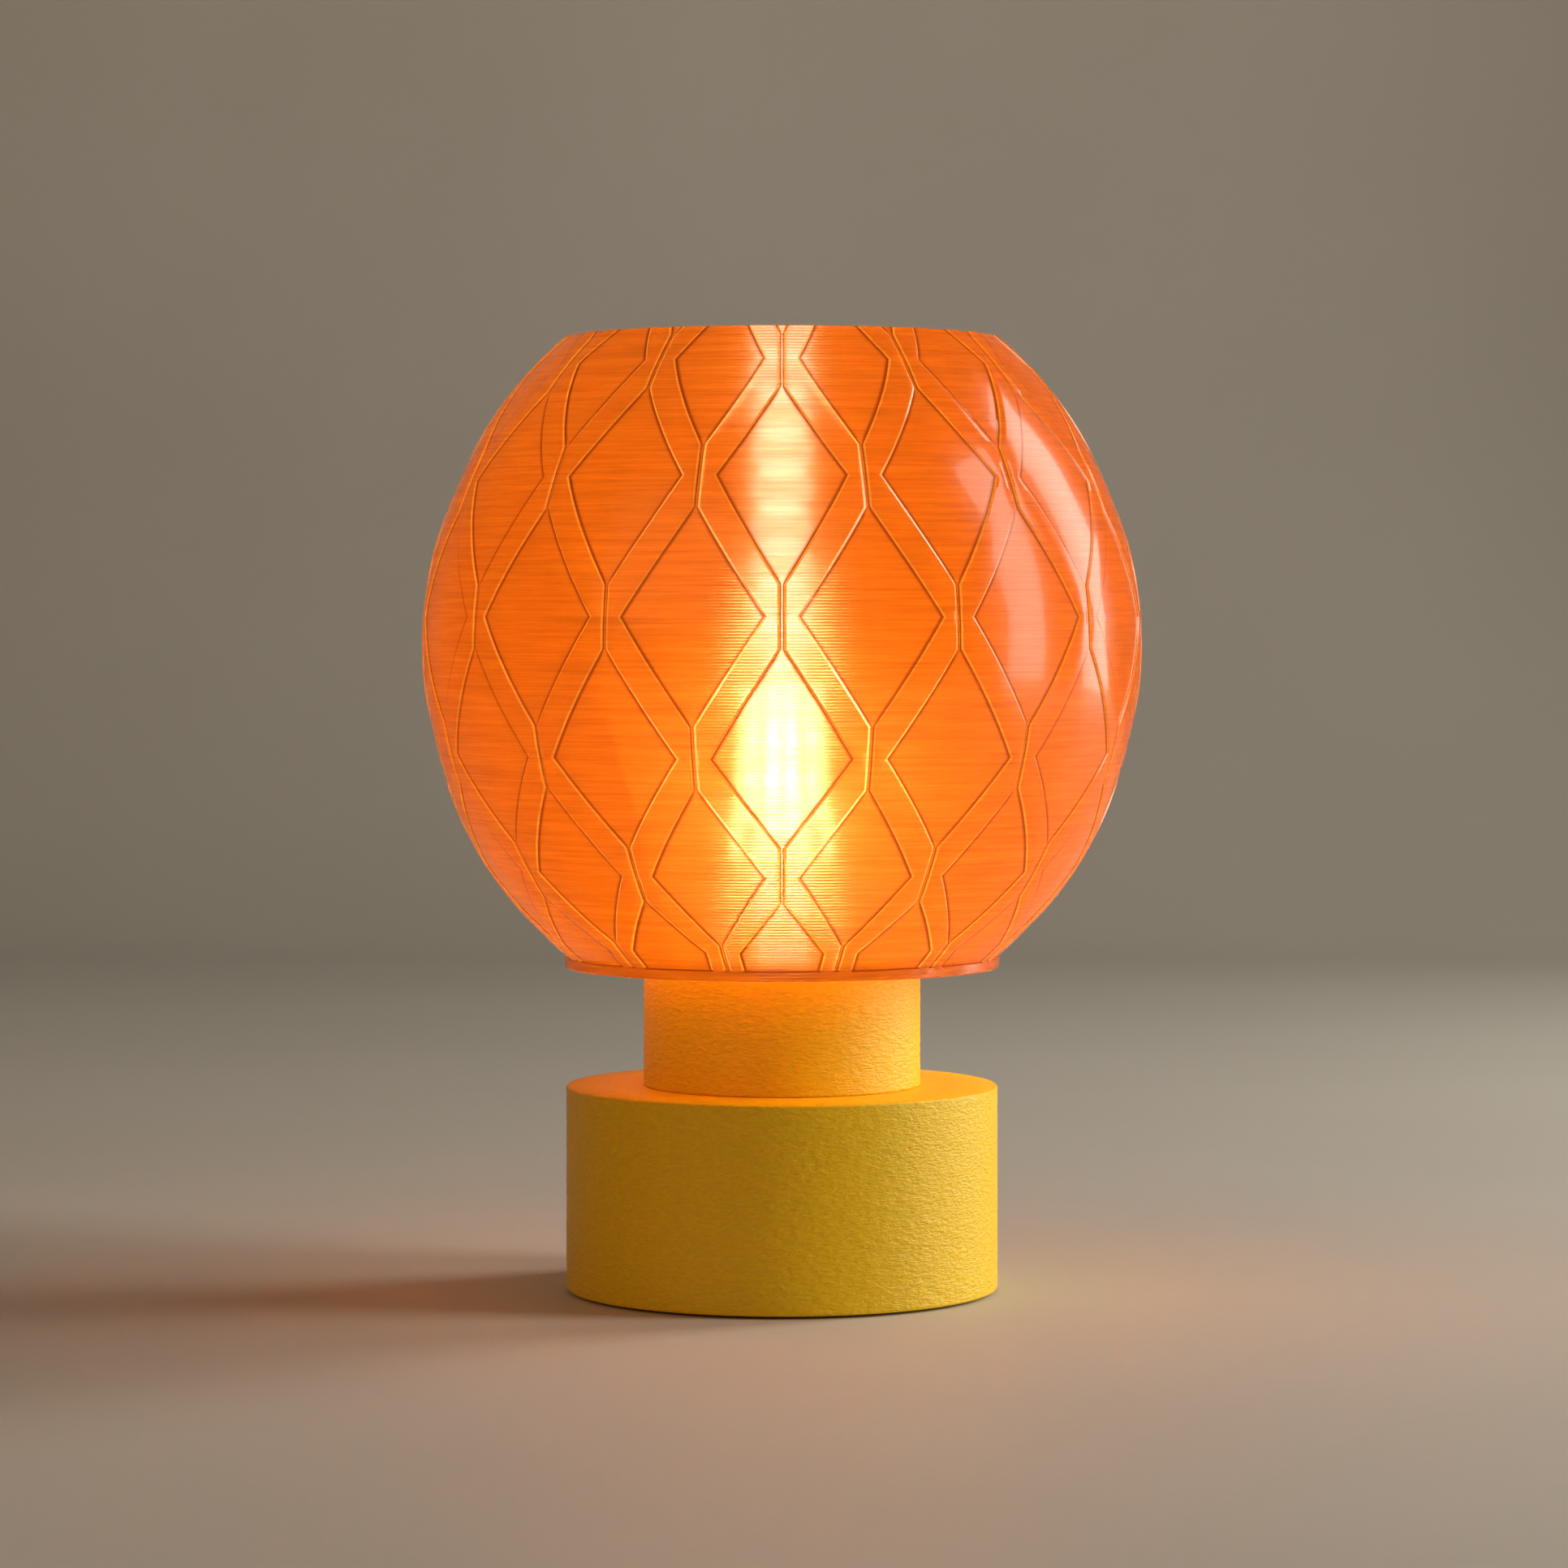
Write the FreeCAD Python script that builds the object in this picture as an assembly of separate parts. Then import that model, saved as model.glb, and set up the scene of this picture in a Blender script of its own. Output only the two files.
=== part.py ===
import FreeCAD, Part
import math
import os

# A printed table lamp: an open globe shade with a floor rests on a neck, the neck stands on a
# wide drum, and a screw-in LED bulb sits in a lampholder that hangs in the neck.
# Millimetres, +Z up, the origin on the table under the middle of the drum. The cord leaves at +Y.

Vector = FreeCAD.Vector
UP = Vector(0, 0, 1)
REAR = Vector(0, 1, 0)
CENTRE = Vector(0, 0, 0)
os.makedirs("parts", exist_ok=True)

# ---- shade ------------------------------------------------------------------------------------
shade_radius = 100.0        # outside, at the widest
shade_rim_radius = 60.5     # outside, at the open top and at the lip
shade_height = 175.0        # underside to open top
shade_lip = 3.0             # upright band round the floor
shade_wall = 1.6
shade_floor = 1.8

# ---- base -------------------------------------------------------------------------------------
drum_radius = 60.0
drum_top = 57.0             # above the table
drum_wall = 3.0
drum_deck = 3.0             # thickness of the drum's top
foot_gap = 0.8              # what the feet lift the drum by
neck_height = 33.0          # from the drum's top to the shade's underside
neck_wall = 3.0
neck_deck = 3.0             # thickness of the neck's top and bottom plates
spigot_rise = 4.5           # ring that centres the shade
spigot_wall = 2.5
shade_ledge = 5.2           # neck's edge outside the shade's hole, on which the shade rests
cover_thickness = 4.0

# ---- fasteners, feet and the cord's bush ------------------------------------------------------
screw_radius = 1.5
screw_head_radius = 2.9
screw_head_height = 1.9
pilot_radius = 1.25
post_radius = 4.2
neck_screw_length = 12.0
cover_screw_length = 10.0
neck_post_height = 14.0     # above the neck's bottom plate
foot_radius = 7.0
foot_thickness = 2.0
foot_margin = 7.7           # feet inside the cover's edge
cord_bore_radius = 3.3
cord_height = 14.0          # of the cord's axis above the table
bush_neck_radius = 4.6
bush_flange_radius = 6.4
bush_flange = 1.5
bush_seat_depth = 0.8       # flat pocket round the cord's hole

# ---- lampholder -------------------------------------------------------------------------------
holder_wall = 3.5           # of the skirt, at the crest of its outside thread
shell_wall = 0.5
shell_gap = 1.8             # screw shell to skirt
holder_rise = 9.0           # the skirt's mouth above the neck's top
holder_flange = 4.0         # thickness of the skirt's flange
holder_flange_step = 3.0    # flange outside the thread
holder_tail = 18.0          # the skirt's length below its flange
holder_tail_step = 1.7      # tail inside the thread
holder_pitch = 2.5          # of the outside thread
holder_thread_depth = 0.7
holder_cap_wall = 2.2
holder_cap_height = 41.0    # from the flange's underside to the end of the nipple
nipple_radius = 7.0
nipple_height = 4.0
nipple_bore = 5.0
holder_cap_shoulder = 2.0   # on which the insert rests
insert_thickness = 6.0
insert_boss = 4.0
insert_boss_room = 1.5      # boss inside the screw shell
insert_skin = 1.0           # porcelain left over the terminal holes
shell_drop = 4.0            # shell's edge below the skirt's mouth
shell_first_ring = 8.0
terminal_offset = 10.0
ring_height = 8.0
ring_foot = 2.7             # height of the ring's wide foot
ring_width = 8.0            # foot outside the thread
ring_wall = 3.2
ring_notches = 12
ring_notch_radius = 1.5

# ---- bulb -------------------------------------------------------------------------------------
bulb_radius = 30.0
bulb_pass = 3.3             # bulb to the shade's hole, when the shade is lifted over it
bulb_length_ratio = 3.6     # contact to crown, over the globe's radius
bulb_seam_ratio = 2.0 / 3.0   # where the globe runs into the flare, below its centre
glass_wall = 1.0
screw_cap_radius = 13.2     # crest of the cap's thread, and the glass neck above it
screw_cap_wall = 0.4
screw_cap_groove = 0.9
screw_cap_pitch = 3.6
screw_cap_turns = 4
screw_cap_height = 22.0
contact_rise = 4.0          # contact's face to the screw cap's lower edge
contact_radius = 4.8
contact_thickness = 1.2
filament_count = 6
filament_radius = 1.3
filament_height = 40.0
filament_low_circle = 11.0  # radius of the circle of their feet
filament_high_circle = 9.0
wire_radius = 0.4
stem_radius = 3.0
stem_gap = 5.0              # stem's top below the filaments' feet
driver_room = 2.9           # board's edge to the screw cap
driver_thickness = 1.2
capacitor_radius = 3.0
capacitor_length = 8.0

# ---- clearances -------------------------------------------------------------------------------
loose = 0.3                 # a part that lifts off or drops in
snug = 0.2                  # located, then screwed
ring_room = 2.5             # ring nut to the ring that centres the shade
holder_pass = 1.2           # the holder's flange through the neck's bottom plate
finder_wall = 2.6           # ring under the neck that finds the drum
merge = 0.3                 # how far a post runs into the wall that holds it
thread_room = 0.5           # the bulb's cap in the holder's shell
contact_room = 0.3          # contact to contact, when the bulb is screwed home

# ---- heights above the table ------------------------------------------------------------------
neck_top = drum_top + neck_height
shade_top = neck_top + shade_height
shade_middle = (neck_top + shade_lip + shade_top) / 2
deck_under = drum_top - drum_deck
cover_top = foot_gap + cover_thickness
plate_under = neck_top - neck_deck
flange_under = plate_under - holder_flange
skirt_bottom = flange_under - holder_tail
insert_under = skirt_bottom - insert_thickness
holder_mouth = neck_top + holder_rise
contact_height = skirt_bottom + insert_boss + contact_room + contact_thickness
bulb_crown = contact_height + bulb_radius * bulb_length_ratio
bulb_middle = bulb_crown - bulb_radius
bulb_seam_drop = bulb_radius * bulb_seam_ratio
seam_height = bulb_middle - bulb_seam_drop
cap_bottom = contact_height + contact_rise
cap_top = cap_bottom + screw_cap_height

# ---- radii worked out from the sizes above, from the bulb outwards -----------------------------
shell_radius = screw_cap_radius + thread_room
holder_bore = shell_radius + 2 * shell_wall + shell_gap
holder_radius = holder_bore + holder_wall
holder_flange_radius = holder_radius + holder_flange_step
holder_tail_radius = holder_radius - holder_tail_step
ring_radius = holder_radius + ring_width
shade_hole_radius = max(bulb_radius + bulb_pass, ring_radius + ring_room + spigot_wall + loose)
spigot_radius = shade_hole_radius - loose
neck_radius = shade_hole_radius + shade_ledge
holder_way_radius = holder_flange_radius + holder_pass
finder_radius = holder_way_radius + finder_wall
deck_hole_radius = finder_radius + snug
screw_hole_radius = screw_radius + snug
cover_radius = drum_radius - drum_wall - loose
foot_circle = cover_radius - foot_margin - foot_radius
post_circle = drum_radius - drum_wall - post_radius + merge
neck_post_circle = neck_radius - neck_wall - post_radius + merge


def export(node, shape):
    """Write one node and say how large it is."""
    shape = shape.removeSplitter()
    shape.exportStep("parts/" + node + ".step")
    print(node, "solids", len(shape.Solids), "volume", round(shape.Volume, 1), shape.isValid())


def disc(low, high, outer, inner=0.0, x=0.0, y=0.0):
    """Upright disc, or tube where inner is given, between two heights."""
    foot = Vector(x, y, low)
    body = Part.makeCylinder(outer, high - low, foot, UP)
    if inner > 0:
        body = body.cut(Part.makeCylinder(inner, high - low, foot, UP))
    return body


def box(size_x, size_y, low, high, x=0.0, y=0.0):
    """Upright block centred on x, y."""
    return Part.makeBox(size_x, size_y, high - low, Vector(x - size_x / 2, y - size_y / 2, low))


def around(radius, count, first=0.0):
    """Places evenly spaced round the axis, the first one turned by first degrees."""
    turns = [math.radians(first + 360.0 * i / count) for i in range(count)]
    return [(radius * math.cos(turn), radius * math.sin(turn)) for turn in turns]


def at(radius, height):
    """A profile's point, before it is turned about the axis."""
    return Vector(radius, 0, height)


def line(start, end):
    return Part.LineSegment(start, end).toShape()


def arc(start, middle, end):
    return Part.Arc(start, middle, end).toShape()


def wide_arc(start, middle, end):
    """Arc whose centre lies across the axis, as a spline, so that it turns into a clean surface."""
    return Part.Arc(start, middle, end).toBSpline().toShape()


def polyline(*points):
    """Straight edges through the points."""
    return [line(a, b) for a, b in zip(points, points[1:])]


def turned(edges):
    """Solid made by turning a closed profile about the lamp's axis."""
    face = Part.Face(Part.Wire(Part.__sortEdges__(edges)))
    return face.revolve(CENTRE, UP, 360)


def group(shapes):
    """Separate solids in one node."""
    return Part.makeCompound([solid for shape in shapes for solid in shape.Solids])


def screw(x, y, seat, length):
    """Pan-head screw that points up, its head's flat face at height seat."""
    head = disc(seat - screw_head_height, seat, screw_head_radius, x=x, y=y)
    rim = [edge for edge in head.Edges if edge.CenterOfMass.z < seat - screw_head_height + 0.01]
    head = head.makeFillet(screw_head_height / 3, rim)
    slot_deep = seat - screw_head_height * 0.4
    slot_long = screw_head_radius * 1.1
    slot_wide = screw_head_radius / 4
    for size in ((slot_long, slot_wide), (slot_wide, slot_long)):
        head = head.cut(box(size[0], size[1], seat - screw_head_height - 1, slot_deep, x, y))
    shank = disc(seat, seat + length, pilot_radius, x=x, y=y)
    return head.fuse(shank)


# ---- shade ------------------------------------------------------------------------------------
# The wall's section is one arc through the lip, the widest place and the open top.
half_height = (shade_height - shade_lip) / 2
belly = shade_radius - shade_rim_radius
arc_radius = (half_height ** 2 + belly ** 2) / (2 * belly)
arc_centre = shade_radius - arc_radius


def wall_radius(height, inset=0.0):
    """Radius of the shade's wall at a height, inset towards the inside."""
    rise = height - shade_middle
    return arc_centre + math.sqrt((arc_radius - inset) ** 2 - rise ** 2)


def shade_globe():
    """Open-topped globe with a floor that has a hole for the spigot and the bulb."""
    floor_top = neck_top + shade_floor
    lip_top = neck_top + shade_lip
    hole = shade_hole_radius
    inner_rim = wall_radius(shade_top, shade_wall)
    inner_lip = wall_radius(lip_top, shade_wall)
    outside = wide_arc(at(shade_rim_radius, lip_top), at(shade_radius, shade_middle),
                       at(shade_rim_radius, shade_top))
    inside = wide_arc(at(inner_rim, shade_top), at(shade_radius - shade_wall, shade_middle),
                      at(inner_lip, lip_top))
    edges = polyline(at(hole, floor_top), at(hole, neck_top), at(shade_rim_radius, neck_top),
                     at(shade_rim_radius, lip_top))
    edges += [outside, line(at(shade_rim_radius, shade_top), at(inner_rim, shade_top)), inside]
    edges += polyline(at(inner_lip, lip_top), at(inner_lip, floor_top), at(hole, floor_top))
    return turned(edges)


# ---- base -------------------------------------------------------------------------------------
def base_drum():
    """Drum with a top, open below, with posts for the cover and the cord's hole at the rear."""
    drum = disc(foot_gap, drum_top, drum_radius)
    drum = drum.cut(disc(foot_gap, deck_under, drum_radius - drum_wall))
    for x, y in around(post_circle, 4, 45):
        post = disc(cover_top, deck_under, post_radius, x=x, y=y)
        drum = drum.fuse(post)
    for x, y in around(post_circle, 4, 45):
        drum = drum.cut(disc(cover_top, cover_top + cover_screw_length, pilot_radius, x=x, y=y))
    drum = drum.cut(disc(deck_under, drum_top, deck_hole_radius))
    for x, y in around(neck_post_circle, 4, 45):
        drum = drum.cut(disc(deck_under, drum_top, screw_hole_radius, x=x, y=y))
    seat = drum_radius - bush_seat_depth
    inner_face = drum_radius - drum_wall
    pocket_radius = bush_flange_radius + snug
    pocket = Part.makeCylinder(pocket_radius, 2 * bush_seat_depth, Vector(0, seat, cord_height), REAR)
    hole = Part.makeCylinder(bush_neck_radius + snug / 2, 2 * drum_wall,
                             Vector(0, inner_face - drum_wall, cord_height), REAR)
    landing = Part.makeCylinder(pocket_radius, drum_wall,
                                Vector(0, inner_face - drum_wall, cord_height), REAR)
    return drum.cut(pocket).cut(hole).cut(landing)


def cord_bush():
    """Rubber bush with two flanges, in the drum's rear wall."""
    seat = drum_radius - bush_seat_depth
    inner_face = drum_radius - drum_wall
    middle = Vector(0, inner_face, cord_height)
    start = Vector(0, inner_face - bush_flange, cord_height)
    neck = Part.makeCylinder(bush_neck_radius, seat - inner_face, middle, REAR)
    outer = Part.makeCylinder(bush_flange_radius, bush_flange, Vector(0, seat, cord_height), REAR)
    front = [e for e in outer.Edges if e.CenterOfMass.y > seat + bush_flange - 0.01]
    outer = outer.makeFillet(bush_flange / 2, front)
    inner = Part.makeCylinder(bush_flange_radius, bush_flange, start, REAR)
    bush = neck.fuse(outer).fuse(inner)
    length = seat + 2 * bush_flange - inner_face
    return bush.cut(Part.makeCylinder(cord_bore_radius, length, start, REAR))


def base_cover():
    """Plate that closes the drum, with pockets for the feet and the screws' heads."""
    cover = disc(foot_gap, cover_top, cover_radius)
    for x, y in around(foot_circle, 4):
        cover = cover.cut(disc(foot_gap, foot_thickness, foot_radius + snug / 2, x=x, y=y))
    for x, y in around(post_circle, 4, 45):
        cover = cover.cut(disc(foot_gap, cover_top, screw_hole_radius, x=x, y=y))
        cover = cover.cut(disc(foot_gap, foot_gap + screw_head_height + snug,
                               screw_head_radius + loose, x=x, y=y))
    return cover


def cover_screws():
    """Four screws up through the cover into the drum's posts."""
    seat = foot_gap + screw_head_height + snug
    return group([screw(x, y, seat, cover_screw_length) for x, y in around(post_circle, 4, 45)])


def rubber_feet():
    """Four round pads, rounded where they meet the table."""
    feet = []
    for x, y in around(foot_circle, 4):
        pad = disc(0, foot_thickness, foot_radius, x=x, y=y)
        feet.append(pad.makeFillet(foot_gap / 2, [e for e in pad.Edges if e.CenterOfMass.z < 0.01]))
    return group(feet)


def neck_tube():
    """Neck with a plate at each end, a ring below that finds the drum, and a ring above that
    centres the shade."""
    low_plate = drum_top + neck_deck
    neck = disc(drum_top, neck_top, neck_radius)
    neck = neck.cut(disc(low_plate, plate_under, neck_radius - neck_wall))
    for x, y in around(neck_post_circle, 4, 45):
        neck = neck.fuse(disc(low_plate, low_plate + neck_post_height, post_radius, x=x, y=y))
    for x, y in around(neck_post_circle, 4, 45):
        neck = neck.cut(disc(drum_top, low_plate + neck_post_height - neck_deck, pilot_radius, x=x, y=y))
    neck = neck.fuse(disc(deck_under, drum_top, finder_radius))
    neck = neck.fuse(disc(neck_top, neck_top + spigot_rise, spigot_radius, spigot_radius - spigot_wall))
    neck = neck.cut(disc(deck_under, low_plate, holder_way_radius))
    return neck.cut(disc(plate_under, neck_top, holder_radius + loose))


def neck_screws():
    """Four screws up through the drum's top into the neck's posts."""
    places = around(neck_post_circle, 4, 45)
    return group([screw(x, y, deck_under, neck_screw_length) for x, y in places])


# ---- lampholder -------------------------------------------------------------------------------
def holder_skirt():
    """Tube with an outside thread of plain rings, a flange that meets the neck's top plate from
    below, and a thinner tail that goes into the cap."""
    bore = holder_bore
    root = holder_radius - holder_thread_depth
    skirt = disc(plate_under, holder_mouth, root, bore)
    skirt = skirt.fuse(disc(flange_under, plate_under, holder_flange_radius, bore))
    skirt = skirt.fuse(disc(skirt_bottom, flange_under, holder_tail_radius, bore))
    count = int((holder_mouth - plate_under) / holder_pitch)
    for i in range(count):
        low = plate_under + i * holder_pitch
        skirt = skirt.fuse(turned(polyline(
            at(root, low), at(holder_radius, low + holder_pitch * 0.3),
            at(holder_radius, low + holder_pitch * 0.5), at(root, low + holder_pitch * 0.8),
            at(bore, low + holder_pitch * 0.8), at(bore, low), at(root, low))))
    return skirt


def shade_ring():
    """Ring nut that clamps the neck's top plate onto the holder's flange, with grip notches."""
    bore = holder_radius + snug
    foot_top = neck_top + ring_foot
    ring = disc(neck_top, neck_top + ring_height, holder_radius + ring_wall, bore)
    ring = ring.fuse(disc(neck_top, foot_top, ring_radius, bore))
    for x, y in around(ring_radius, ring_notches):
        ring = ring.cut(disc(neck_top, foot_top, ring_notch_radius, x=x, y=y))
    return ring


def holder_cap():
    """Domed cap under the skirt, with a shoulder that holds the insert and a nipple for the cord.
    The dome is a quarter round outside and a concentric one inside."""
    bore = holder_tail_radius + snug
    outer = bore + holder_cap_wall
    room = bore - holder_cap_shoulder
    end = flange_under - holder_cap_height
    dome_end = end + nipple_height
    dome_radius = outer - nipple_radius
    dome_start = dome_end + dome_radius
    inner_radius = dome_radius - holder_cap_wall
    room_side = room - nipple_radius
    room_edge = dome_start - math.sqrt(inner_radius ** 2 - room_side ** 2)
    half = math.asin(room_side / inner_radius) / 2
    inner_middle = at(nipple_radius + inner_radius * math.sin(half),
                      dome_start - inner_radius * math.cos(half))
    slant = dome_radius * math.sqrt(0.5)
    edges = polyline(at(bore, insert_under), at(bore, flange_under), at(outer, flange_under),
                     at(outer, dome_start))
    edges.append(arc(at(outer, dome_start), at(nipple_radius + slant, dome_start - slant),
                     at(nipple_radius, dome_end)))
    edges += polyline(at(nipple_radius, dome_end), at(nipple_radius, end), at(nipple_bore, end),
                      at(nipple_bore, dome_end + holder_cap_wall),
                      at(nipple_radius, dome_end + holder_cap_wall))
    edges.append(arc(at(nipple_radius, dome_end + holder_cap_wall), inner_middle, at(room, room_edge)))
    edges += polyline(at(room, room_edge), at(room, insert_under), at(bore, insert_under))
    return turned(edges)


def holder_insert():
    """Porcelain disc between the skirt and the cap, with a boss and two holes for the terminals."""
    boss_radius = shell_radius - insert_boss_room
    insert = disc(insert_under, skirt_bottom, holder_tail_radius)
    insert = insert.fuse(disc(skirt_bottom, skirt_bottom + insert_boss, boss_radius))
    for x in (-terminal_offset, terminal_offset):
        insert = insert.cut(disc(insert_under, skirt_bottom - insert_skin, screw_hole_radius, x=x))
    return insert


def screw_shell():
    """Thin metal shell with rolled rings at the cap's pitch, that takes the bulb's cap."""
    outer = shell_radius + shell_wall
    shell = disc(skirt_bottom, holder_mouth - shell_drop, outer, shell_radius)
    for i in range(screw_cap_turns):
        middle = skirt_bottom + shell_first_ring + i * screw_cap_pitch
        wide = screw_cap_pitch / 4
        narrow = wide - shell_wall
        shell = shell.fuse(disc(middle - wide, middle + wide, outer + shell_wall, shell_radius))
        shell = shell.cut(disc(middle - narrow, middle + narrow, outer, shell_radius))
    return shell


def centre_contact():
    """Sprung brass strip on the insert's boss, under the bulb's contact."""
    low = skirt_bottom + insert_boss
    return box(contact_radius * 2, contact_radius, low, low + contact_thickness)


def terminal_screws():
    """Two screws in the insert, for the cord's two cores."""
    length = insert_thickness - 2 * insert_skin
    return group([screw(x, 0.0, insert_under, length) for x in (-terminal_offset, terminal_offset)])


# ---- bulb -------------------------------------------------------------------------------------
# The globe runs into a flare of one arc, and the flare into an upright neck.
seam_radius = math.sqrt(bulb_radius ** 2 - bulb_seam_drop ** 2)
flare_angle = math.pi / 2 - math.asin(seam_radius / bulb_radius)
flare_radius = (seam_radius - screw_cap_radius) / (1 - math.cos(flare_angle))
flare_start = seam_height - flare_radius * math.sin(flare_angle)
filament_low = bulb_middle - filament_height / 2
filament_high = bulb_middle + filament_height / 2
stem_top = filament_low - stem_gap


def bulb_section(inset):
    """Three edges of the glass from crown to neck, inset towards the inside, and its two ends."""
    globe = bulb_radius - inset
    curve = flare_radius + inset
    bend = seam_radius * globe / bulb_radius
    seam = at(bend, bulb_middle - bulb_seam_drop * globe / bulb_radius)
    neck = at(screw_cap_radius - inset, flare_start)
    half = flare_angle / 2
    middle = at(neck.x + curve * (1 - math.cos(half)), flare_start + curve * math.sin(half))
    crown = at(0, bulb_middle + globe)
    foot = at(neck.x, cap_top)
    edges = [arc(crown, at(globe, bulb_middle), seam), arc(seam, middle, neck), line(neck, foot)]
    return edges, crown, foot


def bulb_envelope():
    """Clear glass of the bulb, from the crown down to the screw cap."""
    outer, outer_crown, outer_foot = bulb_section(0.0)
    inner, inner_crown, inner_foot = bulb_section(glass_wall)
    return turned(outer + [line(outer_foot, inner_foot)] + inner + [line(inner_crown, outer_crown)])


def bulb_stem():
    """Glass stem: a trumpet that closes the neck, and a rod on it that carries the filaments."""
    wide = screw_cap_radius - glass_wall
    rise = wide - stem_radius
    low = cap_top
    slant = rise * math.sqrt(0.5)
    edges = [arc(at(wide, low), at(wide - slant, low + rise - slant), at(stem_radius, low + rise)),
             line(at(stem_radius, low + rise), at(stem_radius, stem_top - stem_radius)),
             arc(at(stem_radius, stem_top - stem_radius),
                 at(stem_radius * math.sqrt(0.5), stem_top - stem_radius * (1 - math.sqrt(0.5))),
                 at(0, stem_top)),
             line(at(0, stem_top), at(0, low)),
             line(at(0, low), at(wide, low))]
    return turned(edges)


def rod(start, end, radius):
    """Round rod between two points."""
    along = end - start
    return Part.makeCylinder(radius, along.Length, start, along)


def filament_ends():
    """Foot and top of each filament."""
    lows = around(filament_low_circle, filament_count)
    highs = around(filament_high_circle, filament_count)
    return [(Vector(a[0], a[1], filament_low), Vector(b[0], b[1], filament_high))
            for a, b in zip(lows, highs)]


def led_filaments():
    """Straight filaments that lean in towards the top, rounded at both ends."""
    rods = []
    for foot, top in filament_ends():
        bar = rod(foot, top, filament_radius)
        bar = bar.fuse(Part.makeSphere(filament_radius, foot))
        rods.append(bar.fuse(Part.makeSphere(filament_radius, top)))
    return group(rods)


def filament_frame():
    """Wires under each filament's foot and over each top, from a post that stands on the stem."""
    mast_radius = wire_radius * 1.5
    touch = Vector(0, 0, filament_radius + wire_radius)
    arm_foot = Vector(0, 0, stem_top + mast_radius)
    post_top = Vector(0, 0, filament_high + filament_radius + 2 * wire_radius)
    frame = rod(Vector(0, 0, stem_top), post_top, mast_radius)
    for foot, top in filament_ends():
        frame = frame.fuse(rod(arm_foot, foot - touch, wire_radius))
        reach = top + touch
        frame = frame.fuse(rod(Vector(0, 0, reach.z), reach, wire_radius))
    return frame


def bulb_cap():
    """Screw cap with a rolled thread, drawn as rings at the thread's pitch."""
    crest = screw_cap_radius
    root = crest - screw_cap_groove
    inside = root - screw_cap_wall
    rings_low = cap_bottom + screw_cap_pitch / 2
    rings_top = rings_low + screw_cap_turns * screw_cap_pitch
    edges = polyline(at(inside, cap_bottom), at(root, cap_bottom), at(root, rings_low))
    for i in range(screw_cap_turns):
        low = rings_low + i * screw_cap_pitch
        edges.append(arc(at(root, low), at(crest, low + screw_cap_pitch / 2),
                         at(root, low + screw_cap_pitch)))
    edges += polyline(at(root, rings_top), at(crest, rings_top + screw_cap_groove),
                      at(crest, cap_top), at(inside, cap_top), at(inside, cap_bottom))
    return turned(edges)


def cap_insulator():
    """Black glass cone between the screw cap and the contact."""
    low = contact_height + contact_thickness
    high = cap_bottom + screw_cap_groove
    wide = screw_cap_radius - screw_cap_groove - screw_cap_wall
    return turned(polyline(at(0, low), at(contact_radius + 1.0, low), at(wide, cap_bottom),
                           at(wide, high), at(0, high), at(0, low)))


def contact_tip():
    """Round contact at the foot of the bulb."""
    tip = disc(contact_height, contact_height + contact_thickness, contact_radius)
    return tip.makeFillet(contact_thickness / 3,
                          [e for e in tip.Edges if e.CenterOfMass.z < contact_height + 0.01])


driver_height = cap_top - screw_cap_height / 3
driver_radius = screw_cap_radius - screw_cap_groove - screw_cap_wall - driver_room


def driver_board():
    """Small round circuit board in the screw cap, with its chip and choke above it."""
    board = disc(driver_height - driver_thickness, driver_height, driver_radius)
    chip = box(5.0, 4.0, driver_height, driver_height + 1.5, x=-driver_radius / 2)
    choke = disc(driver_height, driver_height + 4.0, 2.5, x=driver_radius / 2)
    return board.fuse(chip).fuse(choke)


def driver_capacitor():
    """Capacitor that hangs under the board."""
    high = driver_height - driver_thickness
    return disc(high - capacitor_length, high, capacitor_radius)


NODES = (shade_globe, base_drum, base_cover, cover_screws, rubber_feet, cord_bush, neck_tube,
         neck_screws, holder_skirt, shade_ring, holder_cap, holder_insert, screw_shell,
         centre_contact, terminal_screws, bulb_envelope, bulb_stem, led_filaments, filament_frame,
         bulb_cap, cap_insulator, contact_tip, driver_board, driver_capacitor)

for make in NODES:
    export(make.__name__, make())
print("lamp height", shade_top, "bulb", contact_height, "to", bulb_crown)
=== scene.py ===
import math
import bpy
import numpy as np
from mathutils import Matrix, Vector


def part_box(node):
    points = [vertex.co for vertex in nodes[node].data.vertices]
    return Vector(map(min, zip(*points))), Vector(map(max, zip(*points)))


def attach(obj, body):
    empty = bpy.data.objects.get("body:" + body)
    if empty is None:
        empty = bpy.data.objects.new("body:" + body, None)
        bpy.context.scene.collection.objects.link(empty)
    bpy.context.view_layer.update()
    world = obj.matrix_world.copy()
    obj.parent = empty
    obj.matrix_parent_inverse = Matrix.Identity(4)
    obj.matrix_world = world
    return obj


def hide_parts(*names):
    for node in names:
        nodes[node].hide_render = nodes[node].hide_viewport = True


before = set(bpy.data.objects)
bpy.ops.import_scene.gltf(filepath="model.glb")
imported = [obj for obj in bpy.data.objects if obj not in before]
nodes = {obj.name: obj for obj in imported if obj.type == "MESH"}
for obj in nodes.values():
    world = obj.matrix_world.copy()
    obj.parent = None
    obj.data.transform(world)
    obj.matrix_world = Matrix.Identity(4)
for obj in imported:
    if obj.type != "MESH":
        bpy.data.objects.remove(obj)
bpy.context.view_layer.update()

MM = 0.001
scene = bpy.context.scene


# ---- helpers ------------------------------------------------------------------------------------
def linear(text):
    """Linear colour of an sRGB hex value, with an alpha of 1."""
    values = [int(text[i:i + 2], 16) / 255 for i in (1, 3, 5)]
    return tuple(v / 12.92 if v <= 0.04045 else ((v + 0.055) / 1.055) ** 2.4 for v in values) + (1,)


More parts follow.
